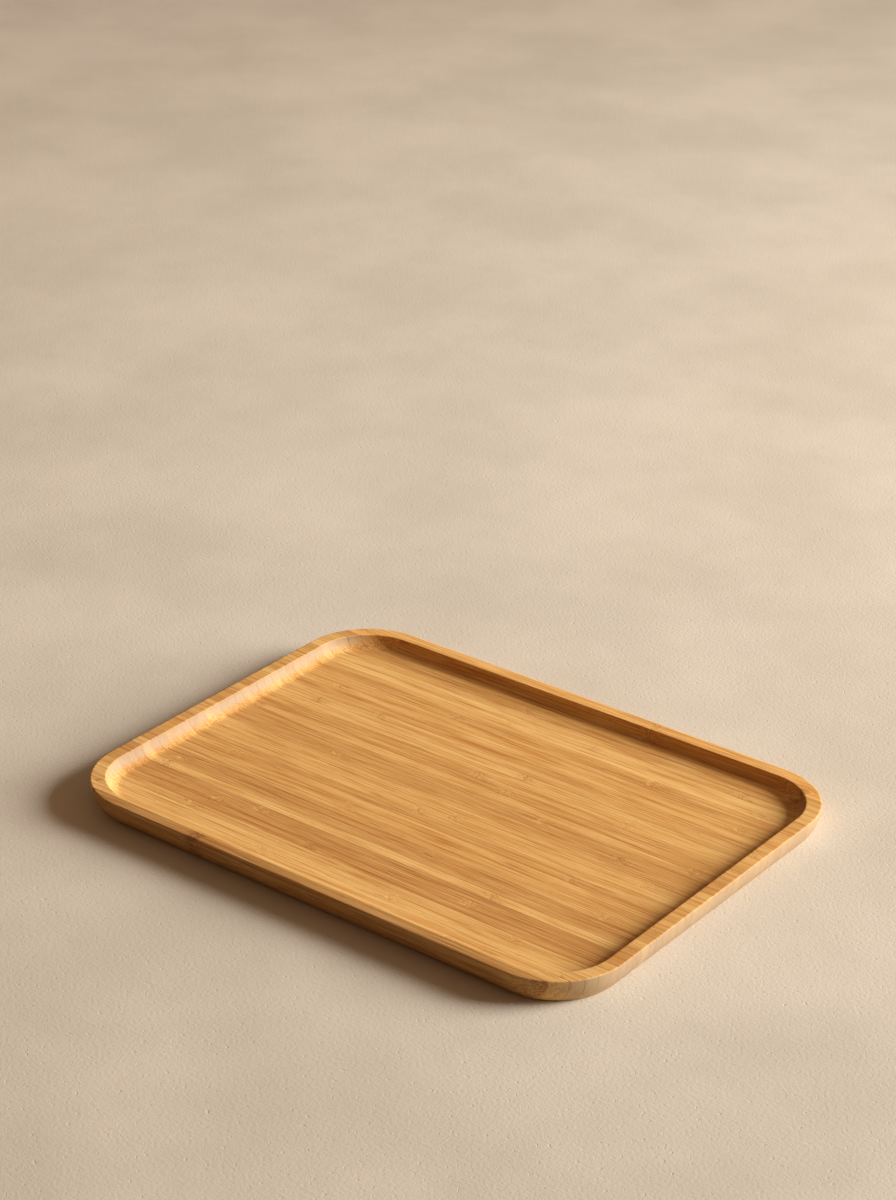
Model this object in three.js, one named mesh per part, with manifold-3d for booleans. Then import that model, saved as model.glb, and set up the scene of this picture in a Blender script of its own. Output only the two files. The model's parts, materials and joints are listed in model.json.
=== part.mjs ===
// A serving tray routed from one panel of side-pressed bamboo.
//
// The panel is a row of full-length bamboo strips glued edge to edge. The tray's whole form is cut
// into that panel: a rim, a flat-bottomed well with a coved edge, and sides that curve in towards a
// flat base. Each strip is a separate piece, so each one is the part of that form that lies between
// its two glue planes.
//
// Units are millimetres. X runs along the grain, Y across the strips and Z up, and the origin is the
// centre of the base.

import * as THREE from 'three';
import { mergeVertices } from 'three/addons/utils/BufferGeometryUtils.js';
import Module from 'manifold-3d';

// Driving dimensions
const TRAY_LENGTH = 380;
const TRAY_WIDTH = 280;
const TRAY_HEIGHT = 17;
const CORNER_RADIUS = 46;
const RIM_WIDTH = 9.5;
const WELL_DEPTH = 8;

// The outer sides: upright for a short way below the rim, then an arc that curves in to the base
const SIDE_UPRIGHT = 1;
const SIDE_RADIUS = 21;

// Facets in a quarter turn. An arc in a shape gets two facets for each curve segment.
const CORNER_FACETS = 18;
const SIDE_FACETS = 10;
const COVE_FACETS = 5;

// Stock that a cutting shape has beyond the surface that it cuts
const CUT_ALLOWANCE = 10;

// Tones of split bamboo, from pale inner culm to browner strips from near the skin
const BAMBOO_TONES = {
  straw: '#deb06b',
  golden: '#d9a860',
  honey: '#d4a25c',
  amber: '#cf9a55',
  caramel: '#c68f50',
};
const BAMBOO_ROUGHNESS = 0.5;

// The tone of each strip, from the front edge to the back
const STRIP_TONES = [
  'caramel', 'straw', 'golden', 'straw', 'straw', 'golden', 'caramel', 'caramel',
  'caramel', 'straw', 'amber', 'caramel', 'honey', 'honey', 'honey', 'amber',
  'golden', 'golden', 'golden', 'amber', 'amber', 'amber', 'golden', 'amber',
  'honey', 'golden', 'straw', 'golden', 'amber', 'golden', 'honey', 'honey',
  'honey', 'straw', 'straw', 'golden', 'amber', 'honey', 'amber', 'golden',
];
const STRIP_COUNT = STRIP_TONES.length;
const STRIP_WIDTH = TRAY_WIDTH / STRIP_COUNT;

const wasm = await Module();
wasm.setup();

/** The outline of a rectangle with rounded corners, centred on the origin. */
function roundedRectangle(length, width, radius) {
  const x = length / 2;
  const y = width / 2;
  const shape = new THREE.Shape();
  shape.moveTo(-x + radius, -y);
  shape.lineTo(x - radius, -y);
  shape.absarc(x - radius, -y + radius, radius, -Math.PI / 2, 0);
  shape.lineTo(x, y - radius);
  shape.absarc(x - radius, y - radius, radius, 0, Math.PI / 2);
  shape.lineTo(-x + radius, y);
  shape.absarc(-x + radius, y - radius, radius, Math.PI / 2, Math.PI);
  shape.lineTo(-x, -y + radius);
  shape.absarc(-x + radius, -y + radius, radius, Math.PI, Math.PI * 1.5);
  return shape;
}

/**
 * A dish-like solid: the outline at its full size from height curveTop up past the rim, and drawn
 * in below that along a quarter circle, down to a flat face one radius lower.
 */
function roundBottomedSolid(outline, curveTop, radius, facets) {
  const geometry = new THREE.ExtrudeGeometry(outline, {
    depth: TRAY_HEIGHT - curveTop + CUT_ALLOWANCE,
    curveSegments: CORNER_FACETS / 2,
    bevelThickness: radius,
    bevelSize: radius,
    bevelOffset: -radius,
    bevelSegments: facets,
  });
  geometry.translate(0, 0, curveTop);
  return toSolid(geometry);
}

/** A closed geometry as a solid that can be cut and joined. */
function toSolid(geometry) {
  geometry.deleteAttribute('normal');
  geometry.deleteAttribute('uv');
  const merged = mergeVertices(geometry);
  const mesh = new wasm.Mesh({
    numProp: 3,
    vertProperties: new Float32Array(merged.attributes.position.array),
    triVerts: new Uint32Array(merged.index.array),
  });
  return new wasm.Manifold(mesh);
}

/** A solid as a geometry. */
function toGeometry(solid) {
  const mesh = solid.getMesh();
  const geometry = new THREE.BufferGeometry();
  geometry.setAttribute('position', new THREE.BufferAttribute(mesh.vertProperties, 3));
  geometry.setIndex(new THREE.BufferAttribute(mesh.triVerts, 1));
  geometry.computeVertexNormals();
  return geometry;
}

/** The form that is cut into the glued panel, before the panel's faces trim its top and base. */
function trayForm() {
  const rimOutline = roundedRectangle(TRAY_LENGTH, TRAY_WIDTH, CORNER_RADIUS);
  const wellOutline = roundedRectangle(
    TRAY_LENGTH - 2 * RIM_WIDTH, TRAY_WIDTH - 2 * RIM_WIDTH, CORNER_RADIUS - RIM_WIDTH);
  const body = roundBottomedSolid(rimOutline, TRAY_HEIGHT - SIDE_UPRIGHT, SIDE_RADIUS, SIDE_FACETS);
  const well = roundBottomedSolid(wellOutline, TRAY_HEIGHT, WELL_DEPTH, COVE_FACETS);
  return body.subtract(well);
}

/** The stretch of the planed panel that one strip takes up, before its ends are cut. */
function stripStock(nearSide, farSide) {
  const stock = new THREE.BoxGeometry(TRAY_LENGTH + CUT_ALLOWANCE, farSide - nearSide, TRAY_HEIGHT);
  stock.translate(0, (nearSide + farSide) / 2, TRAY_HEIGHT / 2);
  return toSolid(stock);
}

/** One bamboo strip, cut to the tray's form between its two glue planes. */
function bambooStrip(form, index) {
  const nearGlue = index * STRIP_WIDTH - TRAY_WIDTH / 2;
  const farGlue = nearGlue + STRIP_WIDTH;
  const centre = (nearGlue + farGlue) / 2;
  const isFirst = index === 0;
  const isLast = index === STRIP_COUNT - 1;
  const stock = stripStock(
    isFirst ? nearGlue - CUT_ALLOWANCE : nearGlue, isLast ? farGlue + CUT_ALLOWANCE : farGlue);

  const geometry = toGeometry(form.intersect(stock));
  geometry.translate(0, -centre, 0);
  const material = new THREE.MeshStandardMaterial({
    color: BAMBOO_TONES[STRIP_TONES[index]],
    roughness: BAMBOO_ROUGHNESS,
    metalness: 0,
  });
  const strip = new THREE.Mesh(geometry, material);
  strip.name = `bamboo_strip_${String(index + 1).padStart(2, '0')}`;
  strip.position.y = centre;
  return strip;
}

const tray = new THREE.Group();
const form = trayForm();
for (let index = 0; index < STRIP_COUNT; index++) {
  tray.add(bambooStrip(form, index));
}

export default tray;
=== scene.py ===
# %% [markdown]
# # A bamboo serving tray
#
# The real tray starts as a panel: full-length strips of bamboo stand on edge beside each other and
# are glued face to face. A router then cuts the whole tray out of that panel. So this lesson goes
# the same way. It models the routed form once, as one smooth body, and then cuts that body apart
# along the glue planes, so that each strip is a piece of its own with its own grain.
#
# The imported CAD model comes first. It is the fixed frame that everything else is measured from.

# %% Load the frame
import json
import math
import random

import bmesh
import bpy
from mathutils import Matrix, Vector


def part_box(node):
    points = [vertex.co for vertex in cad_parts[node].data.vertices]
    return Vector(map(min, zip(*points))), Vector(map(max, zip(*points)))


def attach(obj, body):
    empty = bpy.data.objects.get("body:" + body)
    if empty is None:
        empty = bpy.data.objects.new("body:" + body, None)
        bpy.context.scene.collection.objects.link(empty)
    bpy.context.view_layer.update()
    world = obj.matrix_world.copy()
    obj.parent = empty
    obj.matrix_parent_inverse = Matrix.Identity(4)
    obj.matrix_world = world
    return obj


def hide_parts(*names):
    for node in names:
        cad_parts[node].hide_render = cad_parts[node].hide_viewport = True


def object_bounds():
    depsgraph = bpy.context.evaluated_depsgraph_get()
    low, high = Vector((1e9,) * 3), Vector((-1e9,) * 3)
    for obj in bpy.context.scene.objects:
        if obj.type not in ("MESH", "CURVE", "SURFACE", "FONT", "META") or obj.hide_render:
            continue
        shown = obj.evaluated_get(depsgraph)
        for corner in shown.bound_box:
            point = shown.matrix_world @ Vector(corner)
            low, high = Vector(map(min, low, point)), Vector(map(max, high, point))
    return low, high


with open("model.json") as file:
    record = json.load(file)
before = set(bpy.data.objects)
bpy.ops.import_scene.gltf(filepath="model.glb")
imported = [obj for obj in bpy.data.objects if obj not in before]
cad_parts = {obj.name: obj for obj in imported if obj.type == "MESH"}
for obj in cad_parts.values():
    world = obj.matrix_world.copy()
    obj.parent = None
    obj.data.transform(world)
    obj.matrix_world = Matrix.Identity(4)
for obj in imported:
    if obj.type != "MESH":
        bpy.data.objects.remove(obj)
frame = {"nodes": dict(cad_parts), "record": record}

cad_low, cad_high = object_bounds()
TRAY_LENGTH, TRAY_WIDTH, TRAY_HEIGHT = cad_high - cad_low
STRIPS = sorted(frame["nodes"])
print(f"tray {TRAY_LENGTH:.4f} x {TRAY_WIDTH:.4f} x {TRAY_HEIGHT:.4f} m, {len(STRIPS)} strips")

# %% [markdown]
# ## The measures of the router's path
#
# Every length is in metres. The overall size comes from the frame, and the depth of the well from
# the mount on its floor. The rest are the radii of the corners and of the three cutters: one that
# leaves the cove at the foot of the well's wall, one that draws the sides in towards the base, and
# the sandpaper block that takes the sharpness off each edge.

# %% Named sizes
MM = 0.001
CORNER_RADIUS = 46 * MM
RIM_WIDTH = 9.5 * MM
SIDE_UPRIGHT = 1 * MM
SIDE_RADIUS = 21 * MM
RIM_EASING = 0.7 * MM
WELL_EASING = 0.5 * MM
BASE_EASING = 1.5 * MM

mounts = {mount["name"]: mount for mount in frame["record"]["mounts"]}
WELL_FLOOR = mounts["well_floor"]["pos_m"][2]
COVE_RADIUS = TRAY_HEIGHT - WELL_FLOOR
SIDE_TURN = math.asin((TRAY_HEIGHT - SIDE_UPRIGHT) / SIDE_RADIUS)
BASE_INSET = SIDE_RADIUS * (1 - math.cos(SIDE_TURN))

CORNER_STEPS = 28
COVE_STEPS = 12
SIDE_STEPS = 12
EASING_STEPS = 3
print(f"well {COVE_RADIUS / MM:.1f} mm deep, base drawn in {BASE_INSET / MM:.1f} mm")

# %% [markdown]
# ## Helpers for edit mode
#
# An operator acts on whatever is selected, so each step first selects the faces or edges that it
# needs by where they are. Seen from above, the tray is one rounded outline after another, each a
# fixed distance inside the last. That distance and the height are enough to name any edge ring.

# %% Selecting by place
NEAR = 0.02 * MM


def use_only(piece):
    """Makes one object the selected and active one."""
    bpy.ops.object.select_all(action="DESELECT")
    piece.select_set(True)
    bpy.context.view_layer.objects.active = piece


def distance_inside(point):
    """How far a point lies inside the tray's outline, seen from above."""
    past_x = abs(point.x) - (TRAY_LENGTH / 2 - CORNER_RADIUS)
    past_y = abs(point.y) - (TRAY_WIDTH / 2 - CORNER_RADIUS)
    if past_x > 0 and past_y > 0:
        return CORNER_RADIUS - math.hypot(past_x, past_y)
    return CORNER_RADIUS - max(past_x, past_y)


def select_faces(piece, wanted):
    """In edit mode, selects the faces for which wanted(face) is true."""
    bpy.ops.mesh.select_mode(type="FACE")
    bpy.ops.mesh.select_all(action="DESELECT")
    mesh = bmesh.from_edit_mesh(piece.data)
    for face in mesh.faces:
        face.select_set(wanted(face))
    bmesh.update_edit_mesh(piece.data)


def select_edges(piece, wanted):
    """In edit mode, selects the edges for whose two ends wanted(point) is true."""
    bpy.ops.mesh.select_mode(type="EDGE")
    bpy.ops.mesh.select_all(action="DESELECT")
    mesh = bmesh.from_edit_mesh(piece.data)
    for edge in mesh.edges:
        edge.select_set(all(wanted(vertex.co) for vertex in edge.verts))
    bmesh.update_edit_mesh(piece.data)


def select_ring(piece, inside, height):
    """In edit mode, selects the ring of edges at one distance inside the outline and one height."""
    select_edges(
        piece,
        lambda point: abs(distance_inside(point) - inside) < NEAR and abs(point.z - height) < NEAR,
    )


# %% [markdown]
# ## The blank
#
# The blank is the thin upright band under the rim: a box of the full length and width, one
# millimetre high, with its four standing edges bevelled round to the corner radius. A box with
# bevelled edges is quicker than drawing an outline by hand, and the arcs come out exact.

# %% Cut the blank
bpy.ops.object.select_all(action="DESELECT")
bpy.ops.mesh.primitive_cube_add(
    size=1,
    location=(0, 0, TRAY_HEIGHT - SIDE_UPRIGHT / 2),
    scale=(TRAY_LENGTH, TRAY_WIDTH, SIDE_UPRIGHT),
)
form = bpy.context.active_object
form.name = "tray_form"
bpy.ops.object.transform_apply(location=True, rotation=False, scale=True)

bpy.ops.object.mode_set(mode="EDIT")
bpy.ops.mesh.select_mode(type="EDGE")
bpy.ops.mesh.select_all(action="DESELECT")
mesh = bmesh.from_edit_mesh(form.data)
for edge in mesh.edges:
    rise = edge.verts[0].co - edge.verts[1].co
    edge.select_set(abs(rise.z) > SIDE_UPRIGHT / 2)
bmesh.update_edit_mesh(form.data)
bpy.ops.mesh.bevel(offset=CORNER_RADIUS, segments=CORNER_STEPS, affect="EDGES", profile=0.5)
print(f"blank has {len(bmesh.from_edit_mesh(form.data).faces)} faces")

# %% [markdown]
# ## Rim, well and sides
#
# A router follows the outline at a fixed distance, and Inset does the same to a face. With a depth
# as well, one inset is one short step of the cutter, in and down. A row of such steps along a
# quarter circle makes the cove, and another makes the curved side below the rim. Narrow flat rings
# beside each edge keep the light even on the flat faces when the shading is smoothed.

# %% Follow the cutters with insets
HOLDING_RING = 1.3 * MM
FLOOR_RING = 2 * MM


def inset_face(inward, downward=0.0):
    """Insets the selected face, and pushes the inner part along its normal by downward."""
    bpy.ops.mesh.inset(thickness=inward, depth=downward, use_even_offset=True)


def inset_along_arc(radius, turn, steps, sign):
    """Insets the selected face step by step along an arc that starts upright."""
    for step in range(steps):
        start, end = turn * step / steps, turn * (step + 1) / steps
        inward = radius * (math.cos(start) - math.cos(end))
        down = radius * (math.sin(end) - math.sin(start))
        inset_face(inward, sign * down)


select_faces(form, lambda face: face.normal.z > 0.9)
inset_face(HOLDING_RING)
inset_face(RIM_WIDTH - 2 * HOLDING_RING)
inset_face(HOLDING_RING)
inset_along_arc(COVE_RADIUS, math.pi / 2, COVE_STEPS, sign=-1)
inset_face(FLOOR_RING)

select_faces(form, lambda face: face.normal.z < -0.9)
inset_along_arc(SIDE_RADIUS, SIDE_TURN, SIDE_STEPS, sign=1)
inset_face(2 * FLOOR_RING)
lowest = min(vertex.co.z for vertex in bmesh.from_edit_mesh(form.data).verts)
print(f"base at {lowest / MM:.3f} mm")

# %% [markdown]
# ## Eased edges
#
# A sanded tray has no sharp edge. Each edge ring is found by its place and bevelled by the little
# that sandpaper takes off, so the light catches it as a thin line.

# %% Ease the edges
for inside, height, easing in (
    (0, TRAY_HEIGHT, RIM_EASING),
    (RIM_WIDTH, TRAY_HEIGHT, WELL_EASING),
    (BASE_INSET, 0, BASE_EASING),
):
    select_ring(form, inside, height)
    ring = sum(edge.select for edge in bmesh.from_edit_mesh(form.data).edges)
    bpy.ops.mesh.bevel(offset=easing, segments=EASING_STEPS, affect="EDGES", profile=0.5)
    print(f"eased a ring of {ring} edges by {easing / MM} mm")
bpy.ops.mesh.select_all(action="SELECT")
bpy.ops.mesh.normals_make_consistent(inside=False)
bpy.ops.object.mode_set(mode="OBJECT")

# %% [markdown]
# ## The strips
#
# Each strip is what the form leaves between two glue planes. The whole form is copied, and Bisect
# cuts away what lies outside the two planes and closes the cuts. A hair's breadth is then taken
# off the long edges of the cuts, because a glue line on sanded bamboo is a fine seam that the eye
# can just find.

# %% Cut the form into strips
SEAM_EASING = 0.04 * MM
SMOOTH_ANGLE = math.radians(33)


def cut_away(plane_y, keep_far):
    """In edit mode, cuts the selected mesh at a plane across Y and closes the cut."""
    bpy.ops.mesh.select_all(action="SELECT")
    bpy.ops.mesh.bisect(
        plane_co=(0, plane_y, 0),
        plane_no=(0, 1, 0),
        use_fill=True,
        clear_inner=keep_far,
        clear_outer=not keep_far,
    )


def cut_strip(node):
    """A closed piece of the form that takes the place of one CAD strip."""
    low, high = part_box(node)
    use_only(form)
    bpy.ops.object.duplicate()
    piece = bpy.context.active_object
    piece.name = piece.data.name = node.replace("bamboo_strip", "routed_strip")
    bpy.ops.object.mode_set(mode="EDIT")
    seams = []
    if low.y > cad_low.y + NEAR:
        cut_away(low.y, keep_far=True)
        seams.append(low.y)
    if high.y < cad_high.y - NEAR:
        cut_away(high.y, keep_far=False)
        seams.append(high.y)
    for seam in seams:
        select_edges(piece, lambda point: abs(point.y - seam) < NEAR / 10)
        bpy.ops.mesh.bevel(offset=SEAM_EASING, segments=1, affect="EDGES")
    bpy.ops.object.mode_set(mode="OBJECT")
    bpy.ops.object.shade_smooth_by_angle(angle=SMOOTH_ANGLE)
    return piece


pieces = [cut_strip(node) for node in STRIPS]
bpy.data.objects.remove(form)
print(f"{len(pieces)} strips, {sum(len(piece.data.polygons) for piece in pieces)} faces in all")

# %% [markdown]
# ## Bamboo
#
# Bamboo is a bundle of tubes. Seen along the strip they are fine streaks, and where an end is cut
# across they are dots. Both come from one pattern if it is solid: noise that is drawn out along X
# and read from the place of each point in the piece. The tubes crowd towards the skin of the cane,
# so one side of each strip is a little darker than the other. About every foot there is a knuckle,
# where the tubes swirl and a thin brown line crosses the strip.
#
# One node group holds the pattern. Each strip's material feeds it that strip's own middle, skin
# side, knuckles and tone, so no two strips repeat.

# %% Small helpers for nodes
def add_node(tree, kind, **settings):
    """Adds a node, with its settings."""
    node = tree.nodes.new(kind)
    for name, value in settings.items():
        setattr(node, name, value)
    return node


def feed(tree, socket, value):
    """Gives a socket a number, or a link from another socket."""
    if isinstance(value, bpy.types.NodeSocket):
        tree.links.new(value, socket)
    else:
        socket.default_value = value


def calculate(tree, operation, *values, clamp=False):
    """A Math node as a function: returns the socket that holds the result."""
    node = add_node(tree, "ShaderNodeMath", operation=operation, use_clamp=clamp)
    for socket, value in zip(node.inputs, values):
        feed(tree, socket, value)
    return node.outputs[0]


def hump(tree, place, width):
    """A smooth hump of height 1 where place is 0, about width wide to each side."""
    ratio = calculate(tree, "DIVIDE", place, width)
    square = calculate(tree, "MULTIPLY", ratio, ratio)
    return calculate(tree, "EXPONENT", calculate(tree, "MULTIPLY", square, -1.0))


def ramp(tree, value, low, high, to_low=0.0, to_high=1.0):
    """Maps low..high to to_low..to_high with a smooth start and end."""
    node = add_node(tree, "ShaderNodeMapRange", interpolation_type="SMOOTHSTEP")
    for socket, number in zip(node.inputs, (value, low, high, to_low, to_high)):
        feed(tree, socket, number)
    return node.outputs[0]


def vector_of(tree, x, y, z):
    """Three numbers as one vector."""
    node = add_node(tree, "ShaderNodeCombineXYZ")
    for socket, value in zip(node.inputs, (x, y, z)):
        feed(tree, socket, value)
    return node.outputs[0]


def noise(tree, vector, detail=2.0, roughness=0.5):
    """Noise that changes over about one unit of the vector."""
    node = add_node(tree, "ShaderNodeTexNoise", noise_dimensions="3D")
    feed(tree, node.inputs["Vector"], vector)
    node.inputs["Scale"].default_value = 1.0
    node.inputs["Detail"].default_value = detail
    node.inputs["Roughness"].default_value = roughness
    return node.outputs["Fac"]


def mix_colour(tree, share, first, second):
    """Two colours mixed by share: all first at 0, all second at 1."""
    node = add_node(tree, "ShaderNodeMix", data_type="RGBA")
    feed(tree, node.inputs[0], share)
    feed(tree, node.inputs[6], first)
    feed(tree, node.inputs[7], second)
    return node.outputs[2]


# %% [markdown]
# ### The pattern's sockets
#
# The pattern is a node group that works in millimetres, and the next cells build it step by step.
# Place is where a point is in the piece. The numbers tell the strips apart: a seed for the noise,
# the strip's middle, how much darker its skin side is, the slope of its grain, where its knuckles
# are, how much they swell or how dark their stain is, and how plain its glue lines are. The three
# colours are its pale ground, its browner streak, and its cut ends, which are partly painted sheen.

# %% Make the node group
STRIP_WIDTH_MM = TRAY_WIDTH / len(STRIPS) / MM
MM_PER_METRE = 1000.0
INPUTS = (
    ("Place", "NodeSocketVector"),
    ("Seed", "NodeSocketFloat"),
    ("Middle", "NodeSocketFloat"),
    ("Skin", "NodeSocketFloat"),
    ("Slope", "NodeSocketFloat"),
    ("Knuckle", "NodeSocketFloat"),
    ("Pitch", "NodeSocketFloat"),
    ("Swelling", "NodeSocketFloat"),
    ("Stain", "NodeSocketFloat"),
    ("Seam", "NodeSocketFloat"),
    ("Ground", "NodeSocketColor"),
    ("Streak", "NodeSocketColor"),
    ("End", "NodeSocketColor"),
)
OUTPUTS = (
    ("Colour", "NodeSocketColor"),
    ("Roughness", "NodeSocketFloat"),
    ("Height", "NodeSocketFloat"),
)
pattern = bpy.data.node_groups.new("bamboo_pattern", "ShaderNodeTree")
for name, kind in INPUTS:
    pattern.interface.new_socket(name, in_out="INPUT", socket_type=kind)
for name, kind in OUTPUTS:
    pattern.interface.new_socket(name, in_out="OUTPUT", socket_type=kind)
given = add_node(pattern, "NodeGroupInput").outputs
result = add_node(pattern, "NodeGroupOutput").inputs
print(f"the pattern has {len(INPUTS)} inputs and {len(OUTPUTS)} outputs")


# %% Arithmetic in the pattern
def times(first, second):
    """Two of the pattern's values multiplied."""
    return calculate(pattern, "MULTIPLY", first, second)


def plus(first, second):
    """Two of the pattern's values added."""
    return calculate(pattern, "ADD", first, second)


def minus(first, second):
    """The second of two of the pattern's values taken from the first."""
    return calculate(pattern, "SUBTRACT", first, second)


def times_plus(value, factor, rest, clamp=False):
    """A value of the pattern times a factor, plus the rest."""
    return calculate(pattern, "MULTIPLY_ADD", value, factor, rest, clamp=clamp)


def size_of(value):
    """A value of the pattern without its sign."""
    return calculate(pattern, "ABSOLUTE", value)


def centred(value):
    """A noise value moved down, so that its middle is zero."""
    return minus(value, 0.5)


# %% [markdown]
# ### Where a point is in the strip
#
# The pattern needs two places besides the point's own. One goes across the strip, from -0.5 on one
# glue plane to 0.5 on the other. The other is how far along the strip the nearest knuckle is. A real
# knuckle isn't square to the strip, so a little noise moves its place to and fro.

# %% Find the places
KNUCKLE_WAVER = 7.0
KNUCKLE_REACH = 6.0

scaled = add_node(pattern, "ShaderNodeVectorMath", operation="SCALE")
feed(pattern, scaled.inputs[0], given["Place"])
scaled.inputs["Scale"].default_value = MM_PER_METRE
split = add_node(pattern, "ShaderNodeSeparateXYZ")
feed(pattern, split.inputs[0], scaled.outputs[0])
x, y, z = split.outputs

across = calculate(pattern, "DIVIDE", minus(y, given["Middle"]), STRIP_WIDTH_MM)
waver = noise(pattern, vector_of(pattern, given["Seed"], times(y, 0.45), times(z, 0.3)), 2.0)
from_knuckle = minus(times_plus(centred(waver), KNUCKLE_WAVER, x), given["Knuckle"])
half_pitch = times(given["Pitch"], 0.5)
nearest = calculate(pattern, "WRAP", from_knuckle, half_pitch, times(half_pitch, -1.0))
near_knuckle = times(hump(pattern, nearest, KNUCKLE_REACH), given["Swelling"])
print(f"strips are {STRIP_WIDTH_MM:.2f} mm wide, and a knuckle reaches {KNUCKLE_REACH} mm each way")

# %% [markdown]
# ### Fibres
#
# The fibres run along the strip, waver gently, and swirl at a knuckle. So the noise isn't read at
# the point itself but at a place that is bent in the same way. Each noise is one kind of streak:
# patches a few centimetres long, bands that are nearly as long as the tray, tubes, hairlines, and
# the short dashes that the planer leaves where it opens a tube.

# %% Lay noise along the fibres
FIBRE_DRIFT = 1.4
FIBRE_SWIRL = 8.0


def cloud_noise(scale_along, scale_across, detail):
    """Soft noise in the strip that isn't drawn out along the fibres as they bend."""
    along = times_plus(x, scale_along, given["Seed"])
    vector = vector_of(pattern, along, times(y, scale_across), times(z, scale_across))
    return noise(pattern, vector, detail)


drift = cloud_noise(scale_along=0.02, scale_across=0.10, detail=1.0)
swirl = cloud_noise(scale_along=0.22, scale_across=0.36, detail=2.0)
swirled = times(times(centred(swirl), FIBRE_SWIRL), near_knuckle)
bend = times_plus(centred(drift), FIBRE_DRIFT, swirled)
fibre_y = plus(y, times_plus(x, given["Slope"], bend))
fibre_z = times_plus(bend, 0.5, z)


def fibres(length, width, height, shift, detail, roughness=0.5):
    """Noise drawn out along the fibres, for streaks of that length, width and height."""
    along = times_plus(x, 1 / length, given["Seed"])
    sideways = times_plus(fibre_y, 1 / width, shift)
    upward = times(fibre_z, 1 / height)
    return noise(pattern, vector_of(pattern, along, sideways, upward), detail, roughness)


patches = fibres(length=48, width=3.4, height=8.0, shift=3.0, detail=2.0)
bands = fibres(length=160, width=1.3, height=4.0, shift=17.0, detail=1.0)
tubes = fibres(length=170, width=2.3, height=2.6, shift=11.0, detail=2.0, roughness=0.55)
hairs = fibres(length=48, width=0.50, height=0.5, shift=23.0, detail=2.0, roughness=0.65)
dashes = fibres(length=5, width=0.40, height=0.5, shift=31.0, detail=0.0)
print(f"fibres laid, {len(pattern.nodes)} nodes so far")

# %% [markdown]
# ### The planed sides
#
# Along the strip the colour goes from its ground to its streak. It is browner in thin lines, where
# the tube noise crosses its middle value, and in bands and patches, and a little browner towards
# the skin side. Over that lie the warm tint of some patches, the dashes, and pale hairlines where
# the plane has cut clean through the fibres.

# %% Colour the sides
PATCH_WARM = (0.530, 0.215, 0.036, 1)
HAIR_PALE = (0.850, 0.615, 0.320, 1)
EVERYWHERE_BROWN = 0.25

tube_line = ramp(pattern, size_of(centred(tubes)), 0.055, 0.0)
tube_line = times(tube_line, ramp(pattern, hairs, 0.36, 0.60))
brown = times(tube_line, 0.85)
brown = times_plus(centred(patches), 0.95, brown)
brown = times_plus(centred(bands), 0.85, brown)
brown = times_plus(centred(hairs), 2.0, brown)
brown = times_plus(across, given["Skin"], brown)
brown = calculate(pattern, "ADD", brown, EVERYWHERE_BROWN, clamp=True)
side_colour = mix_colour(pattern, brown, given["Ground"], given["Streak"])

warm_share = times(ramp(pattern, patches, 0.56, 0.76), 0.5)
dash_share = times(ramp(pattern, dashes, 0.68, 0.80), 0.55)
pale_share = times(ramp(pattern, hairs, 0.44, 0.26), 0.5)
side_colour = mix_colour(pattern, warm_share, side_colour, PATCH_WARM)
side_colour = mix_colour(pattern, dash_share, side_colour, given["Streak"])
side_colour = mix_colour(pattern, pale_share, side_colour, HAIR_PALE)
print(f"sides coloured, {len(pattern.nodes)} nodes so far")

# %% [markdown]
# ### The cut ends and their painted sheen
#
# Where the surface faces along the strip, the saw and router have cut across the fibres. There the
# bamboo is paler, and each tube is a dot. The pale, creamy tone is partly that real end grain and
# partly painted sheen, like the sheen the lamp raises on the left cove. The normal's X says how much
# a point faces that way, so the pale tone comes up gradually round the corners and down the cove.

# %% Colour the ends and paint their sheen
dots = add_node(pattern, "ShaderNodeTexVoronoi", voronoi_dimensions="3D", feature="F1")
dot_place = vector_of(pattern, times(x, 0.02), times(fibre_y, 1.3), times(fibre_z, 1.0))
feed(pattern, dots.inputs["Vector"], dot_place)
dots.inputs["Scale"].default_value = 1.0
dot_share = times(ramp(pattern, dots.outputs["Distance"], 0.42, 0.18), 0.35)
end_brown = times_plus(centred(bands), 1.1, 0.18, clamp=True)
# The cut ends' tone: partly real end grain, partly painted sheen.
end_and_sheen_colour = mix_colour(pattern, 0.12, given["End"], given["Ground"])
end_and_sheen_colour = mix_colour(pattern, end_brown, end_and_sheen_colour, given["Streak"])
end_and_sheen_colour = mix_colour(pattern, dot_share, end_and_sheen_colour, given["Streak"])

facing = add_node(pattern, "ShaderNodeNewGeometry")
normal = add_node(pattern, "ShaderNodeSeparateXYZ")
feed(pattern, normal.inputs[0], facing.outputs["Normal"])
# How far a point faces along X sets the share of that tone, for the real end grain and the painted
# sheen alike.
end_and_sheen_share = ramp(pattern, size_of(normal.outputs[0]), 0.42, 0.90)
colour = mix_colour(pattern, end_and_sheen_share, side_colour, end_and_sheen_colour)
print(f"ends coloured, {len(pattern.nodes)} nodes so far")

# %% [markdown]
# ### Knuckle marks
#
# A knuckle is a pale swelling, or on a few strips a dark stain. Brown curls wrinkle it, and a thin
# broken line crosses the strip at its middle. All of them fade with the distance from the knuckle.
# The curls are the contour lines of the same noise that swirls the fibres, so they follow the swirl.

# %% Mark the knuckles
KNUCKLE_STAIN = (0.130, 0.050, 0.017, 1)
KNUCKLE_BROWN = (0.385, 0.138, 0.026, 1)
KNUCKLE_PALE = (0.830, 0.530, 0.185, 1)

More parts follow.
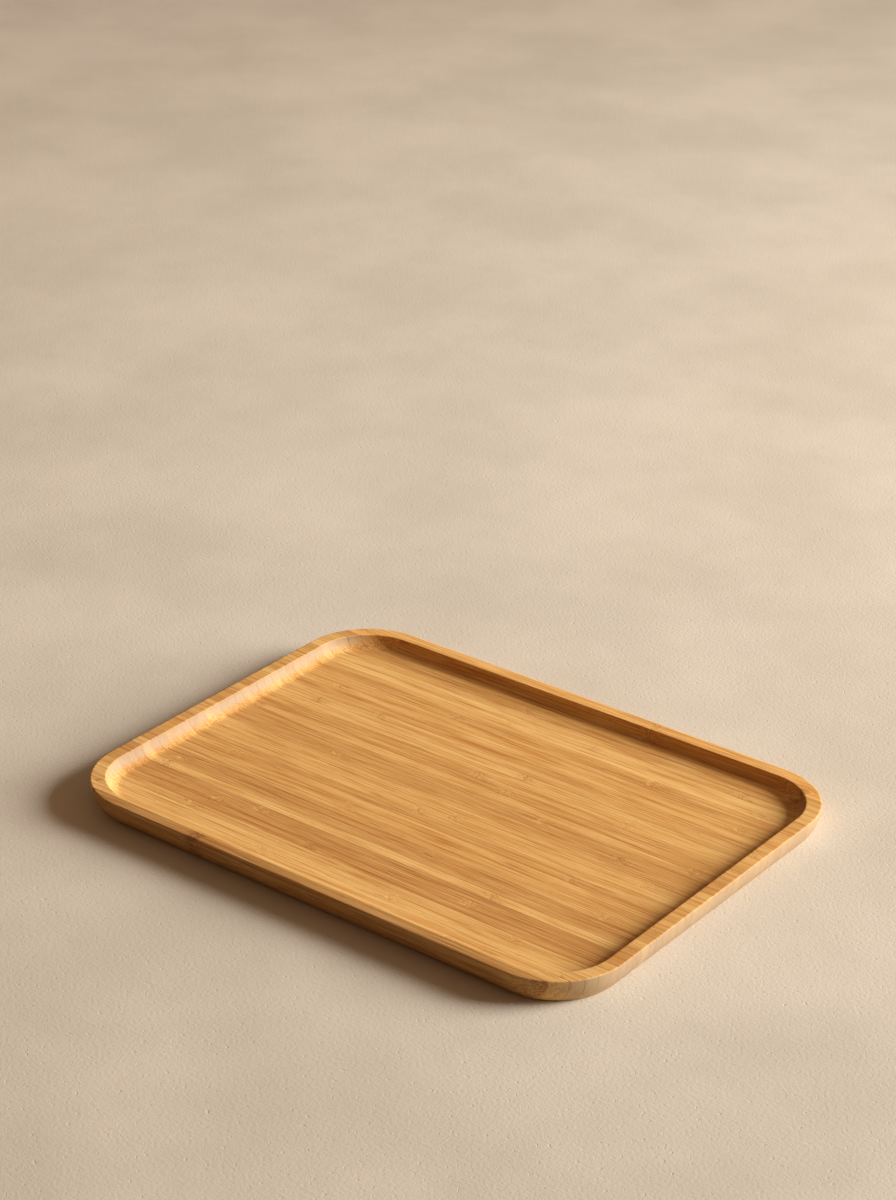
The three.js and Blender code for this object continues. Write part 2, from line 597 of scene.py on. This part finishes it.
unstained = minus(1.0, given["Stain"])
pale = times(
    hump(pattern, plus(nearest, 1.5), 4.0),
    times(times(given["Swelling"], unstained), ramp(pattern, swirl, 0.40, 0.62, 0.0, 0.75)),
)
stain = times(
    hump(pattern, nearest, 4.5), times(given["Stain"], ramp(pattern, swirl, 0.30, 0.60)))
curls = size_of(calculate(pattern, "SINE", times(swirl, 24.0)))
curls = times(ramp(pattern, curls, 0.60, 0.10), times(near_knuckle, 0.8))
line = times(hump(pattern, nearest, 0.55), ramp(pattern, swirl, 0.44, 0.62))
line = times(line, plus(given["Swelling"], given["Stain"]))
line = calculate(pattern, "MULTIPLY", line, 0.7, clamp=True)

colour = mix_colour(pattern, pale, colour, KNUCKLE_PALE)
colour = mix_colour(pattern, stain, colour, KNUCKLE_STAIN)
colour = mix_colour(pattern, curls, colour, KNUCKLE_BROWN)
colour = mix_colour(pattern, line, colour, KNUCKLE_BROWN)
print(f"knuckles marked, {len(pattern.nodes)} nodes so far")

# %% [markdown]
# ### Glue lines, sheen and relief
#
# The glue line is a brown tint along both glue planes, stronger on some strips. Oiled bamboo is
# satin, and the tubes, hairlines and cut ends are a little more matt than the ground. The height
# feeds a bump: the tubes, dashes, curls, dots and glue lines lie a few hundredths of a millimetre
# deeper than the rest.

# %% Finish the pattern
SEAM_COLOUR = (0.36, 0.17, 0.06, 1)
SEAM_START = 0.462
SEAM_FULL = 0.496
GROUND_ROUGHNESS = 0.52

seam = times(ramp(pattern, size_of(across), SEAM_START, SEAM_FULL), given["Seam"])
colour = mix_colour(pattern, seam, colour, SEAM_COLOUR)

roughness = times_plus(tube_line, 0.08, GROUND_ROUGHNESS)
roughness = times_plus(hairs, 0.12, roughness)
roughness = times_plus(end_and_sheen_share, 0.06, roughness, clamp=True)

height = times_plus(tube_line, -0.5, times(hairs, 0.7))
height = times_plus(dash_share, -0.9, height)
height = times_plus(near_knuckle, times(swirl, 0.5), height)
height = times_plus(curls, -0.5, height)
height = times_plus(dot_share, times(end_and_sheen_share, -1.0), height)
height = times_plus(seam, -0.6, height)

for name, value in (("Colour", colour), ("Roughness", roughness), ("Height", height)):
    feed(pattern, result[name], value)
print(f"the pattern has {len(pattern.nodes)} nodes")

# %% [markdown]
# ### The tones
#
# Panel makers sort strips by tone only roughly, so a panel mixes about five: straw, golden, honey,
# amber and caramel. The record names one finish for each. Every tone is a pale ground and a browner
# streak. The cut ends have one tone for all, which is creamier than any ground: partly real end
# grain, partly painted sheen.

# %% Tones of the five finishes
TONES = {
    "bamboo_straw": ((0.755, 0.488, 0.180), (0.490, 0.242, 0.060)),
    "bamboo_golden": ((0.712, 0.438, 0.150), (0.452, 0.210, 0.050)),
    "bamboo_honey": ((0.675, 0.400, 0.130), (0.420, 0.186, 0.043)),
    "bamboo_amber": ((0.635, 0.362, 0.114), (0.386, 0.164, 0.037)),
    "bamboo_caramel": ((0.590, 0.322, 0.099), (0.350, 0.142, 0.032)),
}
# Creamy tone of the cut ends: partly real end grain, partly painted sheen.
END_AND_SHEEN_TONE = (0.310, 0.262, 0.188, 1)
slots = {part["node"]: part["material_slot"] for part in frame["record"]["subparts"]}
print(f"{len(TONES)} tones for {len(slots)} strips")

# %% [markdown]
# ### The knuckles
#
# A cane has a knuckle about every 160 to 400 millimetres. Each strip's pair gives where one knuckle
# is, in millimetres along the strip from its middle, and how far it is to the next one. A few are
# stained dark, and the number says how darkly.

# %% Knuckles, strip by strip
KNUCKLES = {
    1: (-82, 300), 2: (-160, 260), 3: (118, 330), 4: (-52, 400), 5: (40, 400), 6: (-118, 240),
    7: (-30, 400), 8: (-110, 190), 9: (-80, 340), 10: (86, 250), 11: (-160, 400), 12: (30, 400),
    13: (150, 330), 14: (-41, 260), 15: (-140, 400), 16: (110, 400), 17: (-8, 400), 18: (-175, 190),
    19: (147, 400), 20: (-90, 400), 21: (118, 400), 22: (60, 400), 23: (-170, 330), 24: (19, 260),
    25: (-5, 400), 26: (100, 400), 27: (-144, 163), 28: (-100, 400), 29: (176, 400),
    30: (-144, 400), 31: (155, 400), 32: (-60, 400), 33: (84, 400), 34: (-30, 185),
    35: (30, 400), 36: (134, 400), 37: (-30, 400), 38: (166, 400), 39: (52, 400), 40: (-176, 230),
}
STAINED = {1: 0.85, 3: 0.4, 7: 0.35, 21: 0.35, 38: 0.7}
print(f"{len(KNUCKLES)} strips have their knuckles placed, {len(STAINED)} of them stained")

# %% [markdown]
# ### One material for each strip
#
# Each material is short: the place of a point, the shared pattern, and a satin surface. The oil has
# soaked in, so the sheen is weak; the creamy sheen of the cut ends is painted into their tone.
# What makes a strip different is drawn from a generator with a fixed seed, so the tray is the same
# every time. Strips within one tone still differ by a few hundredths in lightness, and the ones at
# the two long edges get their own factor: the front strip is darkened as painted shade for the near
# side in shade, and the back ones are lightened as painted light for the well's back wall.

# %% Make and assign the materials
SEED = 7
BUMP_STRENGTH = 0.6
BUMP_DISTANCE = 0.05 * MM
GRAIN_SLOPE = 0.006
SKIN_CONTRAST = 0.35
# Factors on the edge strips' tone: painted shade on the front strip, which stands in shade, and
# painted light on the back ones, which carry the well's back wall.
EDGE_STRIP_PAINTED_LIGHT = {1: 0.78, 38: 1.18, 39: 1.24, 40: 1.08}
BAMBOO_IOR = 1.45
BAMBOO_SHEEN = 0.3
dice = random.Random(SEED)


def bamboo_material(number, node):
    """The finish of one strip."""
    material = bpy.data.materials.new(f"bamboo_{number:02d}")
    material.use_nodes = True
    tree = material.node_tree
    surface = tree.nodes["Principled BSDF"]
    place = add_node(tree, "ShaderNodeTexCoord")
    grain = add_node(tree, "ShaderNodeGroup", node_tree=pattern)
    low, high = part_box(node)
    knuckle, pitch = KNUCKLES[number]
    ground, streak = TONES[slots[node]]
    # The strip's random lightness, times the painted shade or painted light of an edge strip.
    lightness_with_painted_light = dice.uniform(0.97, 1.03) * EDGE_STRIP_PAINTED_LIGHT.get(number, 1.0)
    values = {
        "Place": place.outputs["Object"],
        "Seed": dice.uniform(0, 100),
        "Middle": (low.y + high.y) / 2 / MM,
        "Skin": dice.uniform(-SKIN_CONTRAST, SKIN_CONTRAST),
        "Slope": dice.uniform(-GRAIN_SLOPE, GRAIN_SLOPE),
        "Knuckle": knuckle,
        "Pitch": pitch,
        "Swelling": dice.uniform(0.5, 1.0),
        "Stain": STAINED.get(number, dice.uniform(0.0, 0.2)),
        "Seam": dice.uniform(0.0, 0.55),
        "Ground": (*(channel * lightness_with_painted_light for channel in ground), 1),
        "Streak": (*(channel * lightness_with_painted_light for channel in streak), 1),
        "End": END_AND_SHEEN_TONE,
    }
    for name, value in values.items():
        feed(tree, grain.inputs[name], value)
    relief = add_node(tree, "ShaderNodeBump")
    relief.inputs["Strength"].default_value = BUMP_STRENGTH
    relief.inputs["Distance"].default_value = BUMP_DISTANCE
    feed(tree, relief.inputs["Height"], grain.outputs["Height"])
    feed(tree, surface.inputs["Base Color"], grain.outputs["Colour"])
    feed(tree, surface.inputs["Roughness"], grain.outputs["Roughness"])
    feed(tree, surface.inputs["Normal"], relief.outputs["Normal"])
    surface.inputs["IOR"].default_value = BAMBOO_IOR
    surface.inputs["Specular IOR Level"].default_value = BAMBOO_SHEEN
    return material


for number, (node, piece) in enumerate(zip(STRIPS, pieces), start=1):
    piece.data.materials.clear()
    piece.data.materials.append(bamboo_material(number, node))
    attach(piece, "root")
    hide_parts(node)
print(f"{len(pieces)} materials made")

# %% [markdown]
# ## The floor
#
# The tray stands on a plain pale plaster floor, which isn't part of it. Plaster is mottled in soft
# clouds. Its relief is three noises of different sizes: the trowel's waves, sand, and small pits.

# %% Lay the floor
FLOOR_SIZE = 14
CLOUD_SIZE = 160 * MM
TROWEL_SIZE = 50 * MM
PIT_SIZE = 3 * MM
SAND_SIZE = 2.2 * MM
PLASTER_DARK = (0.528, 0.491, 0.416, 1)
PLASTER_LIGHT = (0.598, 0.561, 0.484, 1)

bpy.ops.object.select_all(action="DESELECT")
bpy.ops.mesh.primitive_plane_add(size=FLOOR_SIZE, location=(0, 0, 0))
floor = bpy.context.active_object
floor.name = "floor"
plaster = bpy.data.materials.new("pale_plaster")
plaster.use_nodes = True
tree = plaster.node_tree
surface = tree.nodes["Principled BSDF"]
place = add_node(tree, "ShaderNodeTexCoord").outputs["Object"]


def plaster_noise(size, detail, roughness):
    """Noise on the floor, of about that size in metres."""
    scaled_place = add_node(tree, "ShaderNodeVectorMath", operation="SCALE")
    feed(tree, scaled_place.inputs[0], place)
    scaled_place.inputs["Scale"].default_value = 1 / size
    return noise(tree, scaled_place.outputs[0], detail, roughness)


clouds = ramp(tree, plaster_noise(CLOUD_SIZE, 4.0, 0.55), 0.3, 0.7)
trowel = plaster_noise(TROWEL_SIZE, 2.0, 0.5)
pits = ramp(tree, plaster_noise(PIT_SIZE, 3.0, 0.6), 0.60, 0.74)
sand = plaster_noise(SAND_SIZE, 3.0, 0.6)
relief_height = calculate(tree, "MULTIPLY_ADD", sand, 0.8, calculate(tree, "MULTIPLY", trowel, 1.5))
relief_height = calculate(tree, "MULTIPLY_ADD", pits, -0.6, relief_height)
relief = add_node(tree, "ShaderNodeBump")
relief.inputs["Strength"].default_value = 0.5
relief.inputs["Distance"].default_value = 0.5 * MM
feed(tree, relief.inputs["Height"], relief_height)
feed(tree, surface.inputs["Base Color"], mix_colour(tree, clouds, PLASTER_DARK, PLASTER_LIGHT))
feed(tree, surface.inputs["Normal"], relief.outputs["Normal"])
surface.inputs["Roughness"].default_value = 0.9
floor.data.materials.append(plaster)
print(f"floor {FLOOR_SIZE} m square")

# %% [markdown]
# ## The lamp
#
# One large soft lamp stands low on the right, as a window would, so the left cove glows and the near
# long side lies in shade. Its spread is narrowed and it is aimed a little behind the tray, so the
# floor is brightest there and darkens gently on all sides.

# %% Place the lamp
LAMP_HEADING = math.radians(39.5)
LAMP_RISE = math.radians(21.3)
LAMP_DISTANCE = 4.5
LAMP_SIZE = 2.3
LAMP_POWER = 113
LAMP_SPREAD = math.radians(76)
LAMP_COLOUR = (1.0, 0.94, 0.87)
LAMP_AIM = Vector((-0.25, 0.5, 0))

light = bpy.data.lights.new("window", "AREA")
light.shape = "SQUARE"
light.size = LAMP_SIZE
light.energy = LAMP_POWER
light.color = LAMP_COLOUR
light.spread = LAMP_SPREAD
lamp = bpy.data.objects.new("window", light)
bpy.context.scene.collection.objects.link(lamp)
lamp.location = LAMP_DISTANCE * Vector((
    math.cos(LAMP_HEADING) * math.cos(LAMP_RISE),
    math.sin(LAMP_HEADING) * math.cos(LAMP_RISE),
    math.sin(LAMP_RISE),
))
lamp.rotation_euler = (lamp.location - LAMP_AIM).to_track_quat("Z", "Y").to_euler()
print(f"lamp at {tuple(round(value, 2) for value in lamp.location)}")

# %% [markdown]
# ## The fill
#
# The world gives a weak, warm fill from all round, so the side in shade stays readable. Less of it
# comes from the front than from the back, which keeps the near long side dark.

# %% Light the world
FILL_COLOUR = (1.0, 0.58, 0.32, 1)
FILL_FRONT = 0.19
FILL_BACK = 0.34

world = bpy.data.worlds.new("studio")
world.use_nodes = True
tree = world.node_tree
direction = add_node(tree, "ShaderNodeSeparateXYZ")
feed(tree, direction.inputs[0], add_node(tree, "ShaderNodeTexCoord").outputs["Generated"])
fill = ramp(tree, direction.outputs["Y"], -1.0, 1.0, FILL_FRONT, FILL_BACK)
background = tree.nodes["Background"]
background.inputs["Color"].default_value = FILL_COLOUR
feed(tree, background.inputs["Strength"], fill)
bpy.context.scene.world = world
bpy.context.scene.view_settings.view_transform = "Standard"
print(f"fill from {FILL_FRONT} in front to {FILL_BACK} behind")

# %% [markdown]
# ## The camera
#
# The camera stands well back with a long lens, so the tray's long sides run almost parallel. Two
# angles give its place, round the tray from the front and up from the table. It points a little
# above the tray's middle, so the tray sits low in the picture with empty floor behind it.

# %% Place the camera
AZIMUTH = math.radians(38.18)
ELEVATION = math.radians(26.18)
CAMERA_DISTANCE = 1.771
LENS_MM = 89.4
AIM_RIGHT = -0.0031
AIM_UP = 0.1108

back = Vector((
    math.sin(AZIMUTH) * math.cos(ELEVATION),
    -math.cos(AZIMUTH) * math.cos(ELEVATION),
    math.sin(ELEVATION),
))
right = Vector((math.cos(AZIMUTH), math.sin(AZIMUTH), 0))
up = back.cross(right)
aim = Vector((0, 0, TRAY_HEIGHT)) + right * AIM_RIGHT + up * AIM_UP
camera = bpy.data.objects.new("camera", bpy.data.cameras.new("camera"))
camera.data.lens = LENS_MM
camera.location = aim + back * CAMERA_DISTANCE
camera.rotation_euler = back.to_track_quat("Z", "Y").to_euler()
bpy.context.scene.collection.objects.link(camera)
bpy.context.scene.camera = camera
print(f"camera at {tuple(round(value, 3) for value in camera.location)}")
